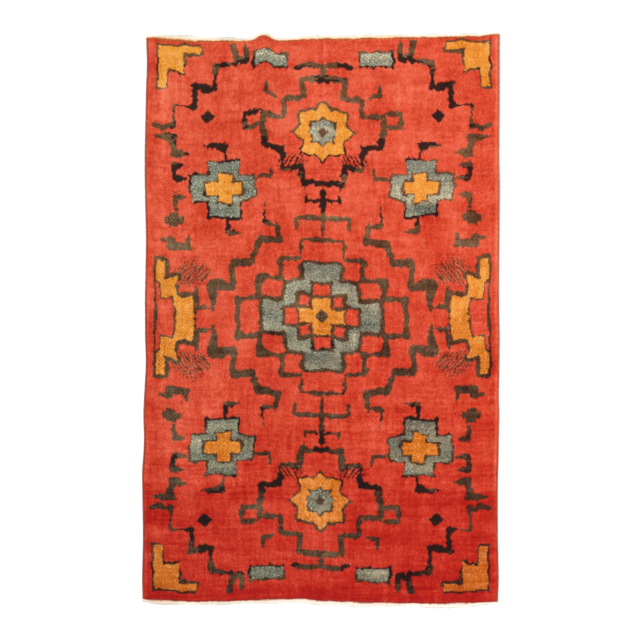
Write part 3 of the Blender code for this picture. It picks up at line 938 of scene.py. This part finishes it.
def knottedBack():
    # The back of the knots: small level nodes of wool in rows between cotton wefts, flatter,
    # firmer and less faded than the pile. Nodes are 4.3 mm, their true pitch.
    material, tree = newMaterial("knotted wool back")
    place = addNode(tree, "UVMap", uv_map="flatCloth")
    ground = addNode(tree, "Attribute", attribute_name="groundColour")
    nearest = addNode(tree, "Attribute", attribute_name="woolDistance")
    parts = addNode(tree, "SeparateXYZ", {"Vector": nearest.outputs["Vector"]})
    colour = ground.outputs["Color"]
    # dark wool fills whatever isn't ground, and the other two lie over it
    for axis, hexColour in foundation["wools"].items():
        distance = parts.outputs[axis]
        inside = addNode(tree, "MapRange", {"Value": distance, "From Min": 0.7, "From Max": -0.7})
        mix = addNode(tree, "Mix", {"Factor": inside, 6: colour, 7: paint(hexColour)}, data_type="RGBA")
        colour = mix.outputs[2]
    # the Mortar colour darkens the sunk lines between the nodes: painted shade
    nodes = addNode(
        tree, "TexBrick",
        {
            "Vector": place, "Scale": 1000 / foundation["knotPitch"], "Mortar Size": 0.09,
            "Mortar Smooth": 0.8, "Brick Width": 1.0, "Row Height": 1.0, "Bias": 0.0,
            "Color1": (0.8, 0.8, 0.8, 1), "Color2": (1.15, 1.15, 1.15, 1), "Mortar": (0.55, 0.5, 0.45, 1),
        },
        offset=0.0,
    )
    weave = addNode(
        tree, "Mix", {"Factor": 1.0, 6: colour, 7: nodes}, data_type="RGBA", blend_type="MULTIPLY",
    )
    relief = addNode(
        tree, "Bump", {"Height": nodes.outputs["Fac"], "Strength": 0.8, "Distance": 0.0012}, invert=True,
    )
    surface = addNode(
        tree, "BsdfPrincipled",
        {"Base Color": weave.outputs[2], "Roughness": 0.9, "Specular IOR Level": 0.2, "Normal": relief},
    )
    addNode(tree, "OutputMaterial", {"Surface": surface})
    return material


def buildFoundation():
    # One sheet that follows the rug's plan and its folds, with a low rim under the pile's edge
    columns, rows = foundation["columns"], foundation["rows"]
    width = rug["halfWidth"] - foundation["sideInset"]
    length = rug["halfLength"] - foundation["endInset"]
    # the outermost line of points repeats the one inside it, turned up
    across = np.pad(np.linspace(-width, width, columns), 1, mode="edge")
    along = np.pad(np.linspace(-length, length, rows), 1, mode="edge")
    column, row = np.meshgrid(across, along)
    x, y = plan(column, row)
    z = lift(x, y)
    z[[0, -1], :] += foundation["rim"]
    z[1:-1, [0, -1]] += foundation["rim"]
    faces = gridFaces(columns + 2, rows + 2)[:, ::-1]
    piece = newPiece("knotted_foundation", pointRows(x, y, z), faces, knottedBack(), pointRows(column, row))
    areas = chart(column, row)
    nearest = pointRows(-areas["red"], areas["orange"], areas["slate"])
    nearest = np.clip(nearest, -foundation["farthest"], foundation["farthest"])
    giveAttribute(piece, "woolDistance", "FLOAT_VECTOR", "POINT", nearest)
    deep, patch = dyeLots(column, row)
    ground = dyed("red", row, deep, patch - foundation["darker"], np.zeros(row.shape))
    tintPoints(piece, "groundColour", toLinear(ground).reshape(-1, 3))
    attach(piece, "root")
    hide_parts("pile_field")
    print("foundation ready")
    return piece


# Selvedges: the outer warps, wrapped over and over with wool

selvedge = {
    "halfWidth": 4.1,
    "halfHeight": 3.5,
    "wrap": 5.6,  # width of one turn of the wrapping yarn
    "ply": 1.9,
    "streaks": (0.42, 1.9),  # of fibres, for each mm along and across them
    "pointsPerWrap": 3,
    "around": 10,
    "groove": 0.7,  # between two turns
    "slant": 2.2,  # how far a turn travels on its way over the cord
    "uneven": 0.16,
    "flattened": (0.08, 40, 63),  # how much, over what length, seed
    "tuck": {"left": 0.7, "right": 1.4},  # under the leaning pile
    "stops": {"left": (-1202.0, 1202.0), "right": (-1208.0, 1208.0)},  # along the nominal length
    "closes": (4.0, 0.15),  # over this length at its ends, down to a point that isn't quite 0
    # from the far end to the near end, and between which places it changes
    "top": {"left": ("#c8654c", "#bf5542"), "right": ("#da7960", "#d05a44")},
    "topChange": (400, -1000),
    "flank": {"left": "#7c4632", "right": "#e4987c"},  # painted shade makes the left cord's outer flank darker; the right one's outer flank is paler
    "flankFrom": (0.3, 0.85),  # cosine of the angle round the cord
    "darker": 0.06,  # share of light that is lost towards the near end
    "darkerChange": (0, -1150),
    # steps of a 255-step colour scale: from turn to turn, painted shade down in the grooves, and along the
    # cord
    "turnTone": 7.0,
    "grooveShade": 16.0,
    "alongTone": (9.0, 130, 64),
    "seed": {"left": 61, "right": 62},
    "bump": {"Strength": 1.0, "Distance": 0.0009},
    "surface": {"Roughness": 0.9, "Specular IOR Level": 0.2, "Sheen Weight": 0.08},
}


def overcastWool():
    # Two-ply wool wrapped round the side cords: a ridge for each turn, with painted shade in the
    # grooves between turns and between the plies, and on the left cord's outer flank, while the right
    # one's outer flank is paler. The plies lie 1.9 mm apart. Fibres are 0.03 mm and run round the cord
    # with the yarn, drawn as streaks of 0.5 mm so that they show.
    material, tree = newMaterial("overcast wool")
    yarn = addNode(tree, "Attribute", attribute_name="yarnColour")
    flat = addNode(tree, "UVMap", uv_map="flatCloth")
    along, across = (number / metres for number in selvedge["streaks"])
    stretched = addNode(tree, "Mapping", {"Vector": flat, "Scale": (along, across, 1.0)})
    hair = addNode(
        tree, "TexNoise", {"Vector": stretched, "Scale": 1.0, "Detail": 3.0, "Roughness": 0.65},
        noise_dimensions="2D",
    )
    turned = addNode(tree, "Mapping", {"Vector": flat, "Rotation": (0.0, 0.0, 0.5)})
    perPly = 2 * np.pi / 20 * 1000 / selvedge["ply"]  # the texture makes 20 waves in 2 pi
    plies = addNode(
        tree, "TexWave",
        {"Vector": turned, "Scale": perPly, "Distortion": 1.6, "Detail": 2.0, "Detail Scale": 3.0},
        wave_type="BANDS", bands_direction="Y",
    )
    height = addNode(tree, "Math", {0: plies.outputs["Fac"], 1: 0.6, 2: hair}, operation="MULTIPLY_ADD")
    # painted shade between the plies: darker where the height is low
    tone = addNode(
        tree, "MapRange",
        {"Value": height, "From Min": 0.5, "From Max": 1.1, "To Min": 0.76, "To Max": 1.18},
    )
    finishYarn(tree, yarn, tone, height, selvedge["bump"], selvedge["surface"])
    return material


def buildSelvedge(side, material):
    # A flattened round carried along the rug's side, swelling with each turn of the yarn
    sign, sidesRound = outwards[side], selvedge["around"]
    first, last = selvedge["stops"][side]
    span = last - first
    rings = int(span / selvedge["wrap"] * selvedge["pointsPerWrap"])
    edgeX, pathY = plan(np.full(rings, sign * rug["halfWidth"]), np.linspace(first, last, rings))
    pathX = edgeX + sign * (selvedge["halfWidth"] - selvedge["tuck"][side])
    own = np.random.default_rng(selvedge["seed"][side])
    angle = np.linspace(0, 2 * np.pi, sidesRound, endpoint=False)
    distance = np.linspace(0, span, rings)
    phase = distance[:, None] + selvedge["slant"] * np.cos(angle)[None, :]
    turn = np.floor(phase / selvedge["wrap"]).astype(int)
    between = np.abs(2 * (phase / selvedge["wrap"] - turn) - 1)  # 1 in the groove between two turns
    turns = turn.max() + 3
    swell = own.normal(0, selvedge["uneven"], turns)[turn + 1] - selvedge["groove"] * between**2
    closing, least = selvedge["closes"]
    taper = np.sqrt(np.clip(np.minimum(distance, span - distance) / closing + least, 0, 1))[:, None]
    flatness = 1 + wavering(distance, selvedge["flattened"])[:, None]
    x = pathX[:, None] + (selvedge["halfWidth"] * flatness + swell) * taper * np.cos(angle)
    z = (selvedge["halfHeight"] / flatness + swell) * taper * np.sin(angle)
    z = lift(pathX, pathY)[:, None] + np.maximum(z, -selvedge["halfHeight"]) + selvedge["halfHeight"]
    y, along = (np.broadcast_to(values[:, None], x.shape) for values in (pathY, distance))
    around = np.broadcast_to(angle * selvedge["halfWidth"], x.shape)

    # faces go round from ring to ring, and each end closes on one point
    ring = np.arange(sidesRound)
    after = np.roll(ring, -1)
    count = rings * sidesRound
    lastRing = count - sidesRound
    squares = gridFaces(sidesRound, rings, closedAcross=True)
    fans = [
        np.stack([after, ring, np.full(sidesRound, count)], axis=1),
        np.stack([ring + lastRing, after + lastRing, np.full(sidesRound, count + 1)], axis=1),
    ]
    faces = np.concatenate([squares[:, [0, 1, 2]], squares[:, [0, 2, 3]], *fans])[:, ::-1]
    endPoints = [[pathX[k], pathY[k], z[k].mean()] for k in (0, -1)]
    points = np.concatenate([pointRows(x, y, z), endPoints])
    flat = np.concatenate([pointRows(around, along), [[0, 0], [0, span]]])
    piece = newPiece("selvedge_wrap_" + side, points, faces, material, flat)

    # painted shade down in the grooves between turns
    tone = own.normal(0, selvedge["turnTone"], turns)[turn + 1] - selvedge["grooveShade"] * between**3
    tone = tone + wavering(distance, selvedge["alongTone"])[:, None]
    # the outer flank: painted shade on the left cord, paler on the right one
    outside = smoothStep(*selvedge["flankFrom"], sign * np.cos(angle))[None, :] * np.ones_like(tone)
    farTop, nearTop = (shade(colour) for colour in selvedge["top"][side])
    changed = smoothStep(*selvedge["topChange"], pathY)[:, None]
    top = blend(farTop, nearTop, np.broadcast_to(changed, tone.shape))
    yarn = blend(top, shade(selvedge["flank"][side]), outside) + tone[..., None] / 255
    lost = selvedge["darker"] * smoothStep(*selvedge["darkerChange"], pathY)
    yarn = yarn * (1 - lost)[:, None, None]
    yarn = np.concatenate([dyedLinear(yarn).reshape(-1, 3), dyedLinear(yarn[[0, -1], 0])])
    tintPoints(piece, "yarnColour", yarn)
    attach(piece, "root")
    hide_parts("selvedge_" + side)
    return piece


# Flat-woven ends: cotton warps and wefts woven on past the pile, cut short and a little frayed

wovenEnd = {
    "warps": 352,
    "pointsPerWarp": 2,
    "lines": 9,
    "ridge": 0.45,
    "betweenWarps": 0.15,  # of a ridge
    "pressed": 0.6,  # share of thickness lost at the cut edge
    "start": 2.7,  # under the pile's last row
    "startAtCorner": 0.8,  # and so much of it more beyond the pile's side
    "flatDepth": 21.0,  # all of it, laid out flat
    "corner": 8.0,  # the strip runs on past the left selvedge's end
    "inRight": 0.4,  # and stops so far inside the pile's right side
    "cockle": 1.4,
    "cockleWaves": ((61.0, 1.0), (23.0, 0.6)),  # each one's length over 2 pi, and its share
    "cockleLevel": 0.5,  # the edge lifts where the waves add up to more
    "frayed": ((1.2, 9, 73), (0.72, 4, 75)),  # reach, size, seed
    "cream": "#f8f3e8",
    "groove": "#e0d4bd",  # painted shade between the threads
    "uneven": ((6, 60, 30, 77), (5, 7, 5, 78)),  # in steps of a 255-step colour scale
    "grooveShare": 0.7,
    "stainShadow": {"far": "#ae5a24", "near": "#aa5541"},  # dye that ran from the pile, and the painted shadow of the pile's edge
    "stainShadowReach": {"far": 0.39, "near": 0.31},
    "stainShadowWaver": (0.35, 30, 76),
    "stainShadowEdge": ((0.12, 5, 4, 74),),
    "stainShadowFade": (0.5, 1.15),  # it fades out between these shares of its reach
    "faint": {"far": "#f9c086", "near": "#fad6c3"},  # and a paler tint further out
    "faintShare": 0.85,
    "faintReach": 0.76,
    "faintWaver": (0.2, 40, 79),
    "ripple": (-245.0, 25.0, 70.0, 0.25),  # place, from and to how far, how much narrower the band is there
    # where the cotton is greyer: x, half the width, how much, below 0 where it is paler
    "greyer": {
        "far": [(-640, 80, 0.9), (-390, 80, 1.0)],
        "near": [(-700, 110, 1.5), (-440, 100, 0.6), (360, 380, -0.2)],
    },
    "greying": (-15.0, -17.0, -22.0),
    "greyingFade": (0.5, 1.2),  # shares of its half width
    "fuzz": 0.7,  # flecks for each mm
    "bump": {"Strength": 0.5, "Distance": 0.0005},
    "surface": {"Roughness": 0.92, "Specular IOR Level": 0.2},
}


def undyedCotton():
    # Undyed cotton, plain weave, packed tight: cream, dry and matt, with the dye of the pile run into
    # its first rows and the painted shadow of the pile's edge over them. The cotton's fuzz is drawn as
    # flecks of 1.4 mm so that it shows.
    material, tree = newMaterial("undyed cotton weave")
    thread = addNode(tree, "Attribute", attribute_name="threadColour")
    place = addNode(tree, "TexCoord")
    fuzz = addNode(
        tree, "TexNoise",
        {
            "Vector": place.outputs["Object"], "Scale": wovenEnd["fuzz"] / metres,
            "Detail": 3.0, "Roughness": 0.65,
        },
    )
    tone = addNode(
        tree, "MapRange",
        {"Value": fuzz, "From Min": 0.25, "From Max": 0.75, "To Min": 0.92, "To Max": 1.05},
    )
    finishYarn(tree, thread, tone, fuzz, wovenEnd["bump"], wovenEnd["surface"])
    return material


def endOutline(end, column):
    # Where the woven strip starts and stops at these places across
    sign = outwards[end]
    x, start = plan(column, np.full(column.shape, sign * rug["halfLength"]))
    further = wovenEnd["startAtCorner"] * (np.abs(column) > rug["halfWidth"])
    start = start - sign * wovenEnd["start"] * (1 + further)
    stop = softLine(ends[end], "x", "strip", column)
    return x, start, stop + sign * wavering(column, *wovenEnd["frayed"])


def cockle(column, portion):
    # The strip's free edge lifts here and there: two sine waves, where they add up
    waves = sum(share * np.sin(column / length) for length, share in wovenEnd["cockleWaves"])
    return wovenEnd["cockle"] * np.clip(waves - wovenEnd["cockleLevel"], 0, 1) * portion**2


def threadTints(end, column, portion, over):
    # Cream threads, with painted shade where they dip under others, greyer in places, and stained by the
    # pile, with the painted shadow of its edge
    depth = wovenEnd["flatDepth"] * portion
    # painted shade where a thread dips under others
    sunkShade = wovenEnd["grooveShare"] * np.clip(-over, 0, 1)
    thread = blend(shade(wovenEnd["cream"]), shade(wovenEnd["groove"]), sunkShade)
    thread = thread + layered(column, depth, wovenEnd["uneven"])[..., None] / 255
    for middle, halfWidth, amount in wovenEnd["greyer"][end]:
        here = amount * (1 - smoothStep(*wovenEnd["greyingFade"], np.abs(column - middle) / halfWidth))
        thread = thread + stepShift(wovenEnd["greying"], here)
    reach = wovenEnd["stainShadowReach"][end] * (1 + wavering(column, wovenEnd["stainShadowWaver"]))
    if end == "far":
        place, fromHere, toHere, less = wovenEnd["ripple"]
        reach = reach * (1 - less * (1 - smoothStep(fromHere, toHere, np.abs(column - place))))
    faintReach = wovenEnd["faintReach"] * (1 + wavering(column, wovenEnd["faintWaver"]))
    fadesFrom, fadesTo = (reach * share for share in wovenEnd["stainShadowFade"])
    faint = wovenEnd["faintShare"] * (1 - smoothStep(fadesFrom, faintReach, portion))
    # the band beside the pile: its dye, and the painted shadow of its edge
    stainShadowShare = portion + layered(column, depth, wovenEnd["stainShadowEdge"])
    stainShadowShare = 1 - smoothStep(fadesFrom, fadesTo, stainShadowShare)
    thread = blend(thread, shade(wovenEnd["faint"][end]), faint)
    thread = blend(thread, shade(wovenEnd["stainShadow"][end]), stainShadowShare)
    return dyedLinear(thread).reshape(-1, 3)


def buildWovenEnd(end, material):
    # A plain weave: warps and wefts ride over each other in turn. Each thread's top is a ridge.
    count = wovenEnd["warps"] * wovenEnd["pointsPerWarp"] + 1
    lines = wovenEnd["lines"]
    left, right = -rug["halfWidth"] - wovenEnd["corner"], rug["halfWidth"] - wovenEnd["inRight"]
    column, portion = np.meshgrid(np.linspace(left, right, count), np.linspace(0, 1, lines))
    x, start, stop = endOutline(end, column)
    y = start + (stop - start) * portion
    warp, weft = np.meshgrid(np.arange(count), np.arange(lines))
    over = np.where((warp // 2 + weft) % 2 == 0, 1.0, -1.0)
    over = over * np.where(warp % 2 == 1, 1.0, wovenEnd["betweenWarps"])
    middle = lift(x, y) + cockle(column, portion) + 0.5 * rug["weave"]
    ridge, half = wovenEnd["ridge"] * over, 0.5 * rug["weave"] - wovenEnd["ridge"]
    thin = 1 - wovenEnd["pressed"] * portion**6
    points = np.concatenate([pointRows(x, y, middle + (ridge + side * half) * thin) for side in (1, -1)])

    squares = gridFaces(count, lines)
    last, below = (lines - 1) * count, lines * count
    rim = np.concatenate(
        [
            np.arange(count), np.arange(1, lines) * count + count - 1,
            last + np.arange(count - 2, -1, -1), np.arange(lines - 2, 0, -1) * count,
        ]
    )
    after = np.roll(rim, -1)
    wall = np.stack([rim, rim + below, after + below, after], axis=1)
    faces = np.concatenate([squares, squares[:, ::-1] + below, wall])
    if end == "near":
        faces = faces[:, ::-1]
    flat = pointRows(column, outwards[end] * (rug["halfLength"] + wovenEnd["flatDepth"] * portion))
    piece = newPiece("cotton_end_" + end, points, faces, material, np.tile(flat, (2, 1)))
    tintPoints(piece, "threadColour", np.tile(threadTints(end, column, portion, over), (2, 1)))
    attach(piece, "root")
    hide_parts("woven_end_" + end)
    return piece


# Stray threads: a few drawn wefts that lie along the cut edges, and short cut warp ends

strayThreads = {
    "thick": 0.36,  # half a thread's thickness
    "sides": 4,
    "weftPoints": 40,
    "warpPoints": 6,
    "lifted": 0.3,
    "inEdge": 0.5,  # a weft's ends lie so far inside the cut edge
    # where each drawn weft starts and ends across, and how far outside the edge it lies
    "far": [
        (-692, -646, 0.9), (-622, -546, 1.6), (-448, -382, 1.2), (-302, -274, 0.8), (108, 144, 0.8),
        (164, 216, 1.2), (364, 404, 0.8), (444, 508, 1.0), (594, 666, 1.4),
    ],
    "near": [
        (-682, -658, 1.2), (-492, -366, 1.0), (-118, -66, 0.6), (-42, 4, 1.2), (108, 192, 1.0),
        (414, 594, 1.6), (598, 620, 1.0), (640, 724, 1.0),
    ],
    "colours": ("#6a6054", "#84776a", "#5a5047"),
    "bow": (26, 103),  # size and seed
    "bowAcross": 1.1,
    "bowUp": 0.5,
    "cutEnds": 130,
    "cutLength": (2.0, 5.5),
    "inCorner": 6.0,  # none lies nearer to a side
    "rooted": 1.5,  # a cut end starts so far inside the edge
    "hangs": 1.05,  # and comes down by so much
    "aboveFloor": 0.05,
    "dulled": 0.92,  # the cotton's cream where it stands alone
    "sway": 1.6,
    "seed": {"far": 101, "near": 102},
}


def threadTubes(paths):
    # Points and faces of thin tubes: a ring of points carried along each path (n, points, 3)
    sidesRound, count = strayThreads["sides"], paths.shape[1]
    run = np.gradient(paths, axis=1)
    run /= np.linalg.norm(run, axis=-1, keepdims=True)
    aside = np.cross(run, [0, 0, 1.0])
    aside /= np.linalg.norm(aside, axis=-1, keepdims=True)
    above = np.cross(aside, run)
    angle = np.linspace(0, 2 * np.pi, sidesRound, endpoint=False)
    ring = aside[:, :, None] * np.cos(angle)[:, None] + above[:, :, None] * np.sin(angle)[:, None]
    points = paths[:, :, None] + strayThreads["thick"] * ring
    tube = gridFaces(sidesRound, count, closedAcross=True)[:, ::-1]
    caps = np.array([np.arange(sidesRound), (count - 1) * sidesRound + np.arange(sidesRound)[::-1]])
    one = np.concatenate([tube, caps])
    faces = one[None] + (np.arange(len(paths)) * count * sidesRound)[:, None, None]
    return points.reshape(-1, 3), faces.reshape(-1, sidesRound)


def buildStrayThreads(end, material):
    # Thin tubes along two kinds of path: beside the cut edge, and straight out of it
    sign, own = outwards[end], np.random.default_rng(strayThreads["seed"][end])
    # drawn wefts: along the edge, bowed out a little and wavering
    t = np.linspace(0, 1, strayThreads["weftPoints"])
    first, last, outside = (np.array(values, float)[:, None] for values in zip(*strayThreads[end]))
    column = first + (last - first) * t
    x, _, stop = endOutline(end, column)
    size, seed = strayThreads["bow"]
    bow = softNoise(column, 40 * outside + 0 * column, size, size, seed)  # each weft has its own
    bowed = outside * np.sin(np.pi * t) ** 0.5 - strayThreads["inEdge"]
    y = stop + sign * (bowed + strayThreads["bowAcross"] * bow)
    z = strayThreads["thick"] + strayThreads["lifted"] + lift(x, y) + cockle(column, 1.0)
    z = z + strayThreads["bowUp"] * np.abs(bow)
    weftPoints, weftFaces = threadTubes(np.stack([x, y, z], -1))
    # cut warp ends: out of the edge and down to the floor
    t = np.linspace(0, 1, strayThreads["warpPoints"])
    limit = rug["halfWidth"] - strayThreads["inCorner"]
    start = own.uniform(-limit, limit, strayThreads["cutEnds"])
    long = own.uniform(*strayThreads["cutLength"], len(start))
    sway = own.normal(0, strayThreads["sway"], len(start))
    x, _, stop = endOutline(end, start)
    x = x[:, None] + sway[:, None] * t**2
    y = stop[:, None] + sign * (long[:, None] * t - strayThreads["rooted"])
    hanging = (strayThreads["hangs"] + cockle(start, 1.0)[:, None]) * (1 - t)
    z = strayThreads["thick"] + strayThreads["aboveFloor"] + lift(x, y) + hanging
    warpPoints, warpFaces = threadTubes(np.stack([x, y, z], -1))

    points = np.concatenate([weftPoints, warpPoints])
    faces = np.concatenate([weftFaces, warpFaces + len(weftPoints)])
    piece = newPiece("stray_threads_" + end, points, faces, material)
    tints = np.array([shade(colour) for colour in strayThreads["colours"]])[own.integers(0, 3, len(first))]
    greyer = np.repeat(toLinear(tints), len(weftPoints) // len(first), axis=0)
    cream = toLinear(shade(wovenEnd["cream"]) * strayThreads["dulled"])
    cream = np.tile(cream, (len(warpPoints), 1))
    tintPoints(piece, "threadColour", np.concatenate([greyer, cream]))
    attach(piece, "root")
    return piece


buildStudio()
tufts = buildPile()
back = buildFoundation()
overcast = overcastWool()
cords = [buildSelvedge(side, overcast) for side in ("left", "right")]
cotton = undyedCotton()
strips = [buildWovenEnd(end, cotton) for end in ("far", "near")]
strays = [buildStrayThreads(end, cotton) for end in ("far", "near")]
print("edges ready")
